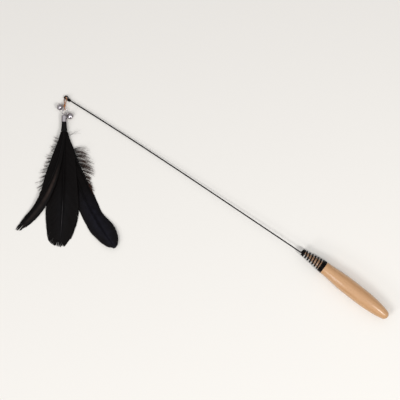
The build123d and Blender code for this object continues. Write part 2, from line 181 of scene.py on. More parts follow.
wand_middle = Vector((0.22, 0.03, 0))
handle_middle = Vector((0, 0, 0))
lower_left = Vector((0.1236, 0.9924, 0))
key_place = wand_middle + lower_left * 1.1 + upright * 1.5
butt_place = Vector((-0.66, 0.0, 1.18))
bell_place = wand_middle + lower_left * 1.6 + upright * 0.85
area_light("key", key_place, wand_middle, size=0.7, power=9)
area_light("butt_glint", butt_place, handle_middle, size=0.14, power=7.5, tall=3)
area_light("bell_glint", bell_place, wand_middle, size=0.4, power=3.5)

# %% Sky
world = bpy.data.worlds.new("sky")
scene.world = world
world.use_nodes = True
tree = world.node_tree
sky = tree.nodes["Background"]
sky.inputs["Strength"].default_value = 0.75
way = add_node(tree, "ShaderNodeTexCoord").outputs["Generated"]
rise = add_node(tree, "ShaderNodeSeparateXYZ", {0: way}).outputs["Z"]
dome = add_node(tree, "ShaderNodeValToRGB", {0: rise})
stops = dome.color_ramp.elements
stops[0].position = 0.02
stops[0].color = linear("#2E2C31")
stops[1].position = 1.0
stops[1].color = linear("#FFFFFF")
for position, code in ((0.25, "#5A585F"), (0.5, "#D4D3D8"), (0.75, "#F6F6F8")):
    stops.new(position).color = linear(code)
tree.links.new(dome.outputs[0], sky.inputs["Color"])
scene.view_settings.view_transform = "Standard"
print("sky tones:", len(stops))

# %% [markdown]
# ## Making and placing pieces
# A CAD node that is kept only gets a material. A new piece is made as a bmesh in millimetres and then goes
# to its place. The wand's pieces lie along the frame's own axes. The lure's pieces are worked out from the
# eye, with X down the photograph and Y to its right, and one matrix turns and shifts them all. Wires, quills
# and threads are swept along a line. A circle could be extruded from point to point, but a bevelled curve
# keeps its section square to the line by itself, and its tilt can twist the section.

# %% Placing
eye_centre = hinges["lure_swing"]
photo_down = radians(photo_turn - 90)
lure_place = Matrix.Translation(Vector((eye_centre.x, eye_centre.y, floor_z)) * mm)
lure_place = lure_place @ Matrix.Rotation(photo_down, 4, "Z") @ Matrix.Scale(mm, 4)
wand_place = Matrix.Scale(mm, 4)


def finish_node(name, material):
    """A CAD node keeps its shape and gets a material."""
    mesh = nodes[name].data
    mesh.materials.clear()
    mesh.materials.append(material)
    print(name, "gets", material.name)


def add_piece(name, bm, place, material, body, stands_for=()):
    """Turns a bmesh in millimetres into a piece at its place, riding on its body."""
    bmesh.ops.transform(bm, matrix=place, verts=bm.verts)
    mesh = bpy.data.meshes.new(name)
    bm.to_mesh(mesh)
    bm.free()
    mesh.materials.append(material)
    mesh.polygons.foreach_set("use_smooth", [True] * len(mesh.polygons))
    piece = bpy.data.objects.new(name, mesh)
    scene.collection.objects.link(piece)
    if body:
        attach(piece, body)
    if stands_for:
        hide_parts(*stands_for)
    print(name, "faces:", len(mesh.polygons))
    return piece


# %% Sweeping
merge_share = 0.001


def swept(points, radius=0.0, section=None, twist=0.0, fineness=3, radii=None):
    """A bmesh of a tube, or of a section curve, swept along points in millimetres."""
    curve = bpy.data.curves.new("sweep", "CURVE")
    curve.dimensions = "3D"
    curve.use_fill_caps = True
    if section:
        curve.bevel_mode = "OBJECT"
        curve.bevel_object = section
    else:
        curve.bevel_depth = radius
        curve.bevel_resolution = fineness
    line = curve.splines.new("POLY")
    line.points.add(len(points) - 1)
    run = 0.0
    for i, point in enumerate(points):
        run += (point - points[i - 1]).length if i else 0.0
        line.points[i].co = (*point, 1)
        line.points[i].tilt = twist * run
        line.points[i].radius = radii[i] if radii else 1.0
    maker = bpy.data.objects.new("sweep", curve)
    scene.collection.objects.link(maker)
    bpy.context.view_layer.update()
    drawn = maker.evaluated_get(bpy.context.evaluated_depsgraph_get())
    mesh = bpy.data.meshes.new_from_object(drawn)
    bm = bmesh.new()
    bm.from_mesh(mesh)
    bmesh.ops.remove_doubles(bm, verts=bm.verts, dist=radius * merge_share)
    bmesh.ops.recalc_face_normals(bm, faces=bm.faces)
    bpy.data.objects.remove(maker)
    bpy.data.curves.remove(curve)
    bpy.data.meshes.remove(mesh)
    return bm


def arc(centre, arm, axis, angle, steps):
    """Points on an arc: the arm swings from its place about the axis through the centre."""
    axis = Vector(axis)
    return [centre + Quaternion(axis, radians(angle) * i / steps) @ arm for i in range(steps + 1)]


# %% [markdown]
# ## Beech handle
# The handle is beech, turned on a lathe, sanded and sealed with a satin lacquer. Beech is pale pinkish tan,
# with faint bands along the stem and many short darker flecks, its rays. The CAD solid has the right turned
# shape, so it stays and only gets the wood. Noise that is stretched along X makes the bands and streaks, and
# cells that are stretched less make the flecks. The nose inside the coil is painted darker brown, as painted
# shade from the coil's turns.

# %% Beech grain
# Lacquered beech: soft bands and fine streaks in pale tan, short dark flecks, and a clear satin coat on top.
band_width = 3.5
streak_width = 0.9
fleck_width = 0.9
band_stretch = (0.07, 1, 1)
fleck_stretch = (0.22, 1, 1)
gloss = dict(Coat_Weight=0.7, Coat_Roughness=0.2)
beech, tree, shader = start_material("lacquered_beech", Roughness=0.5, IOR=1.5, **gloss)
place = add_node(tree, "ShaderNodeTexCoord").outputs["Object"]
band_way = add_node(tree, "ShaderNodeMapping", {"Vector": place}, {"Scale": band_stretch}).outputs[0]
bands = add_node(
    tree,
    "ShaderNodeTexNoise",
    {"Vector": band_way},
    {"Scale": 1 / (band_width * mm), "Detail": 4, "Distortion": 0.6},
).outputs["Fac"]
streaks = add_node(
    tree, "ShaderNodeTexNoise", {"Vector": band_way}, {"Scale": 1 / (streak_width * mm), "Detail": 2}
).outputs["Fac"]
fleck_way = add_node(tree, "ShaderNodeMapping", {"Vector": place}, {"Scale": fleck_stretch}).outputs[0]
flecks = add_node(
    tree, "ShaderNodeTexVoronoi", {"Vector": fleck_way}, {"Scale": 1 / (fleck_width * mm)}
).outputs["Distance"]

# %% Beech tones
nose_shade_start = 47.0
nose_shade_full = 50.0
streak_depth = 0.1
wide = add_node(
    tree, "ShaderNodeMix", {0: bands}, {6: linear("#A0714A"), 7: linear("#DAAF7F")}, data_type="RGBA"
).outputs[2]
fine = add_node(
    tree, "ShaderNodeMix", {0: streaks, 6: wide}, {7: linear("#C69666")}, data_type="RGBA"
).outputs[2]
fleck_mask = add_node(tree, "ShaderNodeMapRange", {0: flecks}, {1: 0.12, 2: 0.3, 3: 1, 4: 0}).outputs[0]
fleck_share = add_node(tree, "ShaderNodeMath", {0: fleck_mask}, {1: 0.35}, operation="MULTIPLY").outputs[0]
wood = add_node(
    tree, "ShaderNodeMix", {0: fleck_share, 6: fine}, {7: linear("#96683F")}, data_type="RGBA"
).outputs[2]
# Towards the nose the wood is mixed towards a darker brown: painted shade inside the coil.
along_axis = add_node(tree, "ShaderNodeSeparateXYZ", {0: place}).outputs["X"]
nose_shade_share = add_node(
    tree, "ShaderNodeMapRange", {0: along_axis}, {1: nose_shade_start * mm, 2: nose_shade_full * mm, 3: 0, 4: 0.45}
).outputs[0]
painted_light = add_node(
    tree, "ShaderNodeMix", {0: nose_shade_share, 6: wood}, {7: linear("#8A6450")}, data_type="RGBA"
).outputs[2]
tree.links.new(painted_light, shader.inputs["Base Color"])
relief = add_node(
    tree, "ShaderNodeBump", {"Height": streaks}, {"Strength": 0.12, "Distance": streak_depth * mm}
).outputs[0]
tree.links.new(relief, shader.inputs["Normal"])
finish_node("wooden_handle", beech)

# %% [markdown]
# ## Black spring wire
# Coil, rod and eye are one piece of drawn spring steel with a thin black satin coating. The real wire bends
# as a whole when the wand is flicked, while the CAD model bends at two hinges. So the wire is swept anew in
# two lengths, which meet between the two hinges. The eye doesn't bend, so its CAD node stays.

# %% Black coating
# Satin black coat on drawn steel: nearly black all over, a little browner and duller in worn patches.
black_wire, tree, shader = start_material("black_coated_steel", IOR=1.5, Specular_IOR_Level=0.08)
worn = mottle(tree, shader, patch=2.5, detail=5, dark="#050404", light="#120D0B")
dull = add_node(tree, "ShaderNodeMapRange", {0: worn}, {3: 0.3, 4: 0.5}).outputs[0]
tree.links.new(dull, shader.inputs["Roughness"])

# %% Coil line
coil_wire_radius = 0.9
coil_start_x = 48.25
coil_end_x = 81.2
close_pitch = 1.82
root_turns = 2.6
open_turns = 6.4
tip_turns = 1.75
coil_turns = root_turns + open_turns + tip_turns
open_pitch = (coil_end_x - coil_start_x - (root_turns + tip_turns) * close_pitch) / open_turns
coil_root_radius = 7.3
coil_tip_radius = 3.4
coil_lean = 1.3
turn_points = 32
tail_bend = 1.4
tail_depth = 4.4
lead_bend = 1.5


def coil_point(turn):
    """A point on the coil's cone. Its first and last turns lie close together, the others apart."""
    opened = min(max(turn - root_turns, 0), open_turns)
    run = turn * close_pitch + opened * (open_pitch - close_pitch)
    share = run / (coil_end_x - coil_start_x)
    radius = coil_root_radius + (coil_tip_radius - coil_root_radius) * share
    side = coil_lean * share**2 + radius * cos(2 * pi * turn)
    return Vector((coil_start_x + run, side, radius * sin(2 * pi * turn)))


tail_centre = coil_point(0) - Vector((0, tail_bend, 0))
tail = arc(tail_centre, Vector((0, 0, -tail_bend)), (1, 0, 0), angle=90, steps=8)
coil_line = [tail[0] - Vector((0, tail_depth, 0))] + tail
coil_line += [coil_point(i / turn_points) for i in range(1, round(coil_turns * turn_points))]
lead_centre = coil_point(coil_turns) + Vector((lead_bend, 0, 0))
coil_line += arc(lead_centre, Vector((-lead_bend, 0, 0)), (0, 0, -1), angle=90, steps=10)
print("coil turns:", coil_turns)

# %% Coil and root
wire_radius = 0.8
root_steps = 40
side_hinge = hinges["wire_flex_side"]
up_hinge = hinges["wire_flex_up"]
root_way = (up_hinge - side_hinge).normalized()
root_middle = side_hinge.lerp(up_hinge, 0.5)
coil_radii = [1.0] * len(coil_line) + [wire_radius / coil_wire_radius] * (root_steps + 1)
coil_line += [side_hinge.lerp(root_middle, i / root_steps) for i in range(root_steps + 1)]
spring_wire = add_piece(
    "spring_wire",
    swept(coil_line, coil_wire_radius, radii=coil_radii),
    wand_place,
    black_wire,
    None,
    ("spring_coil", "wire_root"),
)
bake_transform(spring_wire)

# %% [markdown]
# ## Rod
# The rod runs on from the coil and bows a little on its way to the throat of the eye. Straight pieces would
# show a corner where they meet. A Bezier curve leaves the root and enters the eye along their own lines, so
# there is none. The last points get thinner, to slip into the eye's own wire.

# %% Rod
tip_turn = radians(6.4)
eye_radius = 3.25
throat_turn = radians(35)
throat_offset = 1.4
rod_root_steps = 30
bow_points = 121
tip_taper = [0.98, 0.96, 0.94, 0.93, 0.92]
tip_way = Vector((cos(tip_turn), sin(tip_turn), 0))
tip_side = Vector((tip_way.y, -tip_way.x, 0))
throat = eye_centre - tip_way * eye_radius * cos(throat_turn)
throat = throat - tip_side * (eye_radius * sin(throat_turn) - throat_offset)
reach = (throat - up_hinge).length / 3
first_handle = up_hinge + root_way * reach
last_handle = throat - tip_way * reach
rod_line = [root_middle.lerp(up_hinge, i / rod_root_steps) for i in range(rod_root_steps)]
rod_line += interpolate_bezier(up_hinge, first_handle, last_handle, throat, bow_points)
rod_radii = [1.0] * (len(rod_line) - len(tip_taper)) + tip_taper
rod_wire = add_piece(
    "rod_wire",
    swept(rod_line, wire_radius, radii=rod_radii),
    wand_place,
    black_wire,
    None,
    ("wire_shaft",),
)
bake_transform(rod_wire)
finish_node("tip_eye", black_wire)

# %% [markdown]
# ## Bells, ring and cap
# These are stamped brass or steel with a bright nickel plate. Plate is a metal, so its colour is its
# reflection: pale grey, a little warm, with a faint haze of handling that roughens it in patches. They could
# be spun and bent anew, but the CAD solids already have those shapes, so they stay and get the plate.

# %% Nickel plate
# Bright nickel plate: a clear mirror under a thin haze. Its dark edge tint darkens the rims as painted shade,
# which sets them off from the floor.
nickel, tree, shader = start_material("bright_nickel_plate", Metallic=1.0, Specular_Tint=linear("#2C282C"))
haze = mottle(tree, shader, patch=1.6, detail=4, dark="#B6B0B5", light="#D2CCCE")
polish = add_node(tree, "ShaderNodeMapRange", {0: haze}, {3: 0.06, 4: 0.16}).outputs[0]
tree.links.new(polish, shader.inputs["Roughness"])
for name in nodes:
    if name.endswith(("jump_ring", "end_cap", "cap_loop", "_crown", "_bowl", "_shank")):
        finish_node(name, nickel)

# %% [markdown]
# ## Pellets and glue
# A loose steel pellet rattles in each bell, and a drop of hot glue holds the quills in the cap. Little of
# them shows, through the bells' slots at most, so the plain CAD solids stay, each with its own finish.

# %% Steel pellets and glue
# Plain steel shot: grey metal, scuffed to a soft shine by its own rattling.
steel, tree, shader = start_material("plain_steel_shot", Metallic=1.0, Roughness=0.35)
mottle(tree, shader, patch=0.5, detail=3, dark="#77746F", light="#A8A5A0")
finish_node("bell_left_pellet", steel)
finish_node("bell_right_pellet", steel)
# Cured hot glue: smooth, cloudy and yellowish white.
glue, tree, shader = start_material("cured_hot_glue", Roughness=0.35, IOR=1.48)
mottle(tree, shader, patch=1.2, detail=2, dark="#CDBF9E", light="#E8DFC8")
finish_node("glue_plug", glue)

# %% [markdown]
# ## Amber thread
# A waxed two-ply thread is looped through the eye, wound into a knot and looped round the ring. One round
# tube would look like wire. Two circles swept side by side with a twist make the plies. The thread is held
# at both ends, so it isn't a free cord.

# %% Waxed thread
# Waxed two-ply thread: amber, darker between its fibres, with a faint soft sheen.
amber, tree, shader = start_material("waxed_amber_thread", Roughness=0.5, Sheen_Weight=0.25)
mottle(tree, shader, patch=0.35, detail=3, dark="#8A4A08", light="#D07C16")

# %% Two plies
ply_offset = 0.27
ply_radius = 0.3
ply_corners = 8
ply_twist = 4.5
ply_curve = bpy.data.curves.new("plies", "CURVE")
ply_curve.dimensions = "2D"
for offset in (-ply_offset, ply_offset):
    ring = ply_curve.splines.new("POLY")
    ring.points.add(ply_corners - 1)
    for i, point in enumerate(ring.points):
        turn = 2 * pi * i / ply_corners
        point.co = (offset + ply_radius * cos(turn), ply_radius * sin(turn), 0, 1)
    ring.use_cyclic_u = True
plies = bpy.data.objects.new("plies", ply_curve)
scene.collection.objects.link(plies)
print("plies:", len(ply_curve.splines))

# %% [markdown]
# ## Loops and knot
# Each loop is a teardrop: two straight legs that start in the knot and touch an arc round the eye or the
# ring. The knot is a short barrel of four turns round the legs. A true knot could be drawn strand by strand,
# but at this size only its wound outside shows.

# %% Loops
knot = Vector((10.2, -1.7, 3.1))
eye_middle = Vector((0, 0, 2.15))
ring_top = Vector((14.35, -1.1, 4.0))
leg_offset = 0.4
leg_tuck = 0.3
thread_step = 0.25


def loop_line(origin, normal, centre_reach, radius):
    """Points round a teardrop loop that starts and ends in the knot."""
    way = (knot - origin).normalized()
    across = normal.cross(way).normalized()
    run = (knot - origin).length - leg_tuck - centre_reach
    touch = atan2(leg_offset, run) + acos(radius / sqrt(run**2 + leg_offset**2))
    centre = origin + way * centre_reach
    legs = [centre + way * run + across * s * leg_offset for s in (1, -1)]
    steps = round(2 * (pi - touch) * radius / thread_step)
    bow = [touch + (2 * pi - 2 * touch) * i / steps for i in range(steps + 1)]
    bow = [centre + (way * cos(a) + across * sin(a)) * radius for a in bow]
    count = round((legs[0] - bow[0]).length / thread_step)
    first = [legs[0].lerp(bow[0], i / count) for i in range(count)]
    last = [bow[-1].lerp(legs[1], i / count) for i in range(1, count + 1)]
    return first + bow + last


eye_way = (knot - eye_middle).normalized()
level = upright.cross(eye_way).normalized()
raised = eye_way.cross(level)
loop_lean = radians(53)
eye_normal = raised * cos(loop_lean) - level * sin(loop_lean)
eye_loop = loop_line(eye_middle, eye_normal, centre_reach=1.88, radius=2.3)
ring_way = (knot - ring_top).normalized()
ring_loop = loop_line(ring_top, ring_way.cross(upright), centre_reach=0, radius=1.05)
print("loop points:", len(eye_loop), len(ring_loop))

# %% Knot and thread
knot_turns = 4
knot_turn_points = 26
knot_radius = 0.85
knot_taper = 0.3
knot_pitch = 0.55
wraps = []
for i in range(knot_turns * knot_turn_points + 1):
    turn = i / knot_turn_points
    out = knot_radius - knot_taper * (2 * turn / knot_turns - 1) ** 2
    arm = level * cos(2 * pi * turn) + raised * sin(2 * pi * turn)
    wraps.append(knot + eye_way * (turn - knot_turns / 2) * knot_pitch + arm * out)
thread = swept(eye_loop, section=plies, twist=ply_twist)
for line in (ring_loop, wraps):
    extra = swept(line, section=plies, twist=ply_twist)
    mesh = bpy.data.meshes.new("part")
    extra.to_mesh(mesh)
    extra.free()
    thread.from_mesh(mesh)
    bpy.data.meshes.remove(mesh)
bpy.data.objects.remove(plies)
add_piece("amber_thread", thread, lure_place, amber, "hanger", ("hanger_thread",))

# %% [markdown]
# ## Sleeve
# A black shrink sleeve holds the quills together between the cap and the feathers. Shrunk on, it follows
# the bundle: round in the cap, then wider than it is high, and flared at its mouth. A cone would miss that,
# so rings of different widths and heights are bridged, and the wall gets its thickness last.

# %% Shrink sleeve
# Shrunk black plastic: nearly black and satin, with shallow dents where it grips a quill.
dent_depth = 0.2
satin = dict(Roughness=0.55, IOR=1.5, Specular_IOR_Level=0.12)
shrink, tree, shader = start_material("black_shrink_sleeve", **satin)
dents = mottle(tree, shader, patch=1.4, detail=3, dark="#040404", light="#0D0B0B")
relief = add_node(
    tree, "ShaderNodeBump", {"Height": dents}, {"Strength": 0.3, "Distance": dent_depth * mm}
).outputs[0]
tree.links.new(relief, shader.inputs["Normal"])

# %% Sleeve shape
cap_side = -2.1
bundle_height = 4.0
sleeve_wall = 0.3
sleeve_sides = 32
# How far along each ring is, half its width and half its height.
sleeve_rings = (
    (24.2, 2.9, 2.95),
    (29.6, 2.9, 2.95),
    (30.4, 3.05, 2.95),
    (32.2, 3.1, 2.92),
    (36.0, 3.3, 2.95),
    (39.5, 3.7, 2.98),
    (41.6, 4.2, 3.0),
    (42.0, 4.15, 2.95),
)
sleeve = bmesh.new()
last_ring = None
for reach, half_side, half_height in sleeve_rings:
    made = bmesh.ops.create_circle(sleeve, segments=sleeve_sides, radius=1)["verts"]
    rows = (
        (0, 0, 1, reach),
        (half_side, 0, 0, cap_side),
        (0, half_height, 0, bundle_height),
        (0, 0, 0, 1),
    )
    bmesh.ops.transform(sleeve, matrix=Matrix(rows), verts=made)
    edges = list(dict.fromkeys(e for v in made for e in v.link_edges))
    if last_ring:
        bmesh.ops.bridge_loops(sleeve, edges=last_ring + edges)
    last_ring = edges
bmesh.ops.recalc_face_normals(sleeve, faces=sleeve.faces)
bmesh.ops.solidify(sleeve, geom=sleeve.faces[:], thickness=sleeve_wall)
# The order in which solidify lists the faces of the two rims changes from run to run. Sorted along a
# slanting line, on which no two faces share a place, they are listed the same way each time.
slant = Vector((1, 0.3, 0.07))
sleeve.faces.sort(key=lambda face: face.calc_center_median().dot(slant))
add_piece("shrink_sleeve", sleeve, lure_place, shrink, "tassel", ("quill_sleeve",))

# %% [markdown]
# ## Feathers
# Each feather is a dyed goose or cock feather: a tapered shaft, and on each side a vane of hundreds of thin
# barbs that lie side by side and cling together. The barbs are dyed black, and a band of each vane is painted
# paler as a painted sheen. A feather's pattern follows its barbs, so the vanes carry a UV map of their own:
# along the shaft, and from one edge across to the other. Object coordinates would cut across the barbs.

# %% Vane material
# Real barbs lie about a third of a millimetre apart. Their streaks are drawn coarser, so that they show.
barb_line = 0.7
vane_length = 145.0
streak_breaks = 3
blotch_size = 5.0
sheen_rise = 0.25
sheen_fade = 0.15


def dyed_feather(name, sheen_colour, sheen_middle, band_width, sheen_start, sheen_end):
    """Black dyed feather: silky streaks along the barbs, and a band of the vane painted paler as a painted
    sheen.
    """
    material, tree, shader = start_material(name, IOR=1.54, Specular_IOR_Level=0.08)
    spread = add_node(tree, "ShaderNodeUVMap", uv_map="vane").outputs[0]
    parts = add_node(tree, "ShaderNodeSeparateXYZ", {0: spread}).outputs
    off = add_node(tree, "ShaderNodeMath", {0: parts["Y"]}, {1: sheen_middle}, operation="SUBTRACT").outputs[0]
    off = add_node(tree, "ShaderNodeMath", {0: off}, operation="ABSOLUTE").outputs[0]
    fall = {1: 0, 2: band_width, 3: 1, 4: 0}
    across = add_node(tree, "ShaderNodeMapRange", {0: off}, fall, interpolation_type="SMOOTHSTEP").outputs[0]
    rise = {1: sheen_start, 2: sheen_start + sheen_rise, 3: 0, 4: 1}
    along = add_node(tree, "ShaderNodeMapRange", {0: parts["X"]}, rise).outputs[0]
    fall = {1: sheen_end, 2: sheen_end + sheen_fade, 3: 1, 4: 0.35}
    fade = add_node(tree, "ShaderNodeMapRange", {0: parts["X"]}, fall).outputs[0]
    along = add_node(tree, "ShaderNodeMath", {0: along, 1: fade}, operation="MULTIPLY").outputs[0]
    # The band is a painted sheen: a paler colour mixed into the black across part of the vane.
    band = add_node(tree, "ShaderNodeMath", {0: across, 1: along}, operation="MULTIPLY").outputs[0]
    place = add_node(tree, "ShaderNodeTexCoord").outputs["Object"]
    patches = {"Scale": 1 / (blotch_size * mm), "Detail": 4}
    blotch = add_node(tree, "ShaderNodeTexNoise", {"Vector": place}, patches).outputs[0]
    share = add_node(tree, "ShaderNodeMath", {0: band, 1: blotch}, operation="MULTIPLY").outputs[0]
    lines = {"Scale": (vane_length / barb_line, streak_breaks, 1)}
    barb_way = add_node(tree, "ShaderNodeMapping", {"Vector": spread}, lines).outputs[0]
    barbs = add_node(tree, "ShaderNodeTexNoise", {"Vector": barb_way}, {"Scale": 1, "Detail": 2}).outputs[0]
    silk = add_node(tree, "ShaderNodeMapRange", {0: barbs}, {1: 0.3, 2: 0.7, 3: 0.42, 4: 0.66}).outputs[0]
    tree.links.new(silk, shader.inputs["Roughness"])
    blacks = {6: linear("#030202"), 7: linear("#110D0C")}
    black = add_node(tree, "ShaderNodeMix", {0: barbs}, blacks, data_type="RGBA").outputs[2]
    pale = {7: linear(sheen_colour)}
    tone = add_node(tree, "ShaderNodeMix", {0: share, 6: black}, pale, data_type="RGBA").outputs[2]
    tree.links.new(tone, shader.inputs["Base Color"])
    return material


# Each feather's painted sheen: its colour, where across the vane it lies, and where along it it rises and
# fades.
centre_black = dyed_feather(
    "dyed_feather_centre", "#141315", sheen_middle=0.5, band_width=0.35, sheen_start=0.4, sheen_end=0.9
)
left_black = dyed_feather(
    "dyed_feather_left", "#4A3C36", sheen_middle=0.7, band_width=0.16, sheen_start=0.3, sheen_end=0.55
)
right_black = dyed_feather(
    "dyed_feather_right", "#20202A", sheen_middle=0.5, band_width=0.6, sheen_start=0.45, sheen_end=0.95
)

# %% Quill material
# Dyed quill: smooth black horn. Along one span it is mixed towards paler grey in blotches: a painted
# highlight.
quill_blotch = 4.0
shaft_black, tree, shader = start_material("dyed_quill", Roughness=0.4, IOR=1.54, Specular_IOR_Level=0.1)
place = add_node(tree, "ShaderNodeTexCoord").outputs["Object"]
patches = {"Scale": 1 / (quill_blotch * mm), "Detail": 3}
blotch = add_node(tree, "ShaderNodeTexNoise", {"Vector": place}, patches).outputs["Fac"]
painted_glint = add_node(tree, "ShaderNodeAttribute", attribute_name="painted_glint").outputs["Fac"]
share = add_node(tree, "ShaderNodeMath", {0: blotch, 1: painted_glint}, operation="MULTIPLY").outputs[0]
tones = {6: linear("#0A0808"), 7: linear("#5E5A5C")}
tone = add_node(tree, "ShaderNodeMix", {0: share}, tones, data_type="RGBA").outputs[2]
tree.links.new(tone, shader.inputs["Base Color"])

# %% [markdown]
# ## Shape of a feather
# A plain sheet would look like leather, so every barb is its own narrow strip. The shaft is an arc seen from
# above, and a table gives its height and the width of each vane along it. A barb starts on the shaft, and
# its end lies on the vane's edge. Near the tip, clumps of barbs are worn back together, and the last barbs
# of all fan out in a few ragged bunches, as on a feather that was played with.

# %% Shaft
mouth_reach = 42.0


def row_at(rows, along):
    """A smooth row between the rows of a table whose first column is how far along it is."""
    near = min(max(i for i, row in enumerate(rows) if row[0] <= along), len(rows) - 2)
    picks = [rows[min(max(i, 0), len(rows) - 1)] for i in range(near - 1, near + 3)]
    before, start, end, after = (Vector(row) for row in picks)
    step = end[0] - start[0]
    t = (along - start[0]) / step
    leave = (end - before) * (step / (end[0] - before[0]))
    reach = (after - start) * (step / (after[0] - start[0]))
    t2 = t * t
    t3 = t * t * t
    row = start * (2 * t3 - 3 * t2 + 1) + leave * (t3 - 2 * t2 + t)
    return row + end * (3 * t2 - 2 * t3) + reach * (t3 - t2)


def shaft_line(shape):
    """A function that gives the shaft's place, its way ahead and its way right, at a share along it."""
    heading = radians(shape["heading"])
    turn = radians(shape["turn"])
    bend_radius = shape["length"] / turn

    def place_at(along):
        now = heading + turn * along
        reach = mouth_reach + bend_radius * (sin(now) - sin(heading))
        side = cap_side + shape.get("side", 0.0) + bend_radius * (cos(heading) - cos(now))
        height = bundle_height * row_at(shape["rows"], along)[-1]
        ahead = Vector((cos(now), sin(now), 0))
        return Vector((reach, side, height)), ahead, Vector((-sin(now), cos(now), 0))

    return place_at


# %% Barb
barb_taper = 0.6


def add_barb(bm, uv, line, width, roll, share_rows):
    """One barb: a narrow strip that tapers along its line and is rolled a little, like a roof tile."""
    count = len(line) - 1
    grid = bmesh.ops.create_grid(bm, x_segments=count, y_segments=1, size=1)["verts"]
    spots = {}
    for vert in grid:
        i = round((vert.co.x + 1) / 2 * count)
        edge = 1 if vert.co.y > 0 else -1
        ahead = line[min(i + 1, count)] - line[max(i - 1, 0)]
        flat = upright.cross(ahead).normalized()
        lean = flat * cos(roll) + ahead.normalized().cross(flat) * sin(roll)
        vert.co = line[i] + lean * edge * width * (1 - barb_taper * (i / count) ** 2) / 2
        spots[vert] = share_rows[i]
    for face in {f for v in grid for f in v.link_faces}:
        for loop in face.loops:
            loop[uv].uv = spots[loop.vert]


# %% Side barbs
barb_parts = 6
barb_roll = radians(9)
vane_start = 0.01
root_lean = 48
lean_loss = 22
narrowest = 0.3
clump_shares = (0.012, 0.04)
wear_length = 0.2
most_worn = 0.3
width_spread = (0.975, 1.01)
lift_spread = (-0.04, 0.04)
first_root = 0.004
elbow_out = 0.1
elbow_back = 0.06


def add_side_barbs(bm, uv, dice, shape, sign, column, widest):
    """The barbs along one side of the shaft. Near its tip, clumps of them are worn back together."""
    place_at = shaft_line(shape)
    clumps = [0.0]
    while clumps[-1] < 1:
        clumps.append(clumps[-1] + dice.uniform(*clump_shares))
    worn = [dice.random() ** 2 for _ in clumps]
    for i in range(shape["barbs"]):
        share = vane_start + (1 - vane_start) * (i + 0.5) / shape["barbs"]
        clump = max(k for k, edge in enumerate(clumps) if edge <= share)
        loss = shape["fray"] * worn[clump] * max(0, (share - (1 - wear_length)) / wear_length)
        width = max(widest * row_at(shape["rows"], share)[column], narrowest) * dice.uniform(*width_spread)
        lean = radians(root_lean - lean_loss * share)
        base_share = max(share - width / tan(lean) / shape["length"], first_root)
        base, base_way, base_side = place_at(base_share)
        tip, _, tip_out = place_at(share)
        tip = tip + tip_out * sign * width
        tip = tip.lerp(base, min(loss / (tip - base).length, most_worn))
        elbow = base.lerp(tip, 0.5) + base_side * sign * width * elbow_out - base_way * width * elbow_back
        lift = dice.uniform(*lift_spread)
        line = []
        shares = []
        for k in range(barb_parts + 1):
            q = k / barb_parts
            point = base * (1 - q) ** 2 + elbow * 2 * q * (1 - q) + tip * q * q
            line.append(point + upright * (lift - shape["camber"] * width * q * q))
            shares.append((base_share + (share - base_share) * q, 0.5 + sign * q / 2))
        add_barb(bm, uv, line, shape["barb_width"], barb_roll * sign, shares)


# %% Tip barbs
fan_length = 0.1
fan_spread = 0.6
tip_tuck = 0.3
own_wear = 0.3


def add_tip_barbs(bm, uv, dice, shape, sign, column, widest):
    """The last barbs, which start a little under the vane and fan out past it in ragged bunches."""
    place_at = shaft_line(shape)
    base, _, base_side = place_at(1 - fan_length)
    end, end_way, end_out = place_at(1.0)
    end_width = widest * shape["rows"][-1][column]
    worn = [dice.random() for _ in range(shape["bunches"] + 1)]
    for i in range(shape["fan"]):
        out = (i + 0.5) / shape["fan"]
        strand = int(out * shape["bunches"])
        bunch = (strand + 0.5) / shape["bunches"]
        tip_share = out + (bunch - out) * shape["gather"]
        loss = (worn[strand] + own_wear * dice.random()) * shape["tatter"]
        bulge = (1 - tip_share**2) * shape["round"] - loss
        tip = end + end_out * sign * end_width * tip_share + end_way * bulge
        root = base + base_side * sign * end_width * out * fan_spread - upright * tip_tuck
        line = []
        shares = []
        for k in range(barb_parts + 1):
            q = k / barb_parts
            line.append(root.lerp(tip, q))
            shares.append((1 - fan_length + fan_length * q, 0.5 + sign * out * q / 2))
        add_barb(bm, uv, line, shape["barb_width"], barb_roll * sign, shares)


# %% Vanes and quill
barb_thickness = 0.12
quill_radius = 0.6
quill_root = 24.3
quill_bend = 33.0
quill_lift = 0.12
quill_taper = 0.8
quill_steps = 60


def add_feather(side, shape, material, seed):
    """One feather: both vanes as one piece, and the quill that carries them."""
    dice = random.Random(seed)
    bm = bmesh.new()
    uv = bm.loops.layers.uv.new("vane")
    for vane_side in ((-1, 1, shape["left"]), (1, 2, shape["right"])):
        add_side_barbs(bm, uv, dice, shape, *vane_side)
        add_tip_barbs(bm, uv, dice, shape, *vane_side)
    stands_for = (f"feather_{side}",)
    vane = add_piece(f"vane_{side}", bm, lure_place, material, "tassel", stands_for)
    thick = vane.modifiers.new("barb thickness", "SOLIDIFY")
    thick.thickness = barb_thickness * mm
    thick.offset = 0
    place_at = shaft_line(shape)
    shares = [i / quill_steps for i in range(quill_steps)]
    line = [Vector((reach, cap_side, shape["root_height"])) for reach in (quill_root, quill_bend)]
    line += [place_at(s)[0] + upright * quill_lift for s in shares]
    radii = [1.0, 1.0] + [1 - quill_taper * s for s in shares]
    quill = swept(line, quill_radius, radii=radii, fineness=2)
    # Along this span the quill gets a painted highlight, which rises and falls along the shaft.
    if "painted_light" in shape:
        painted_glint = quill.verts.layers.float.new("painted_glint")
        glint_start, glint_end = (mouth_reach + shape["length"] * share for share in shape["painted_light"])
        for vert in quill.verts:
            rise = min(max((vert.co.x - glint_start) / (glint_end - glint_start), 0), 1)
            vert[painted_glint] = sin(pi * rise)
    add_piece(f"quill_{side}", quill, lure_place, shaft_black, "tassel")


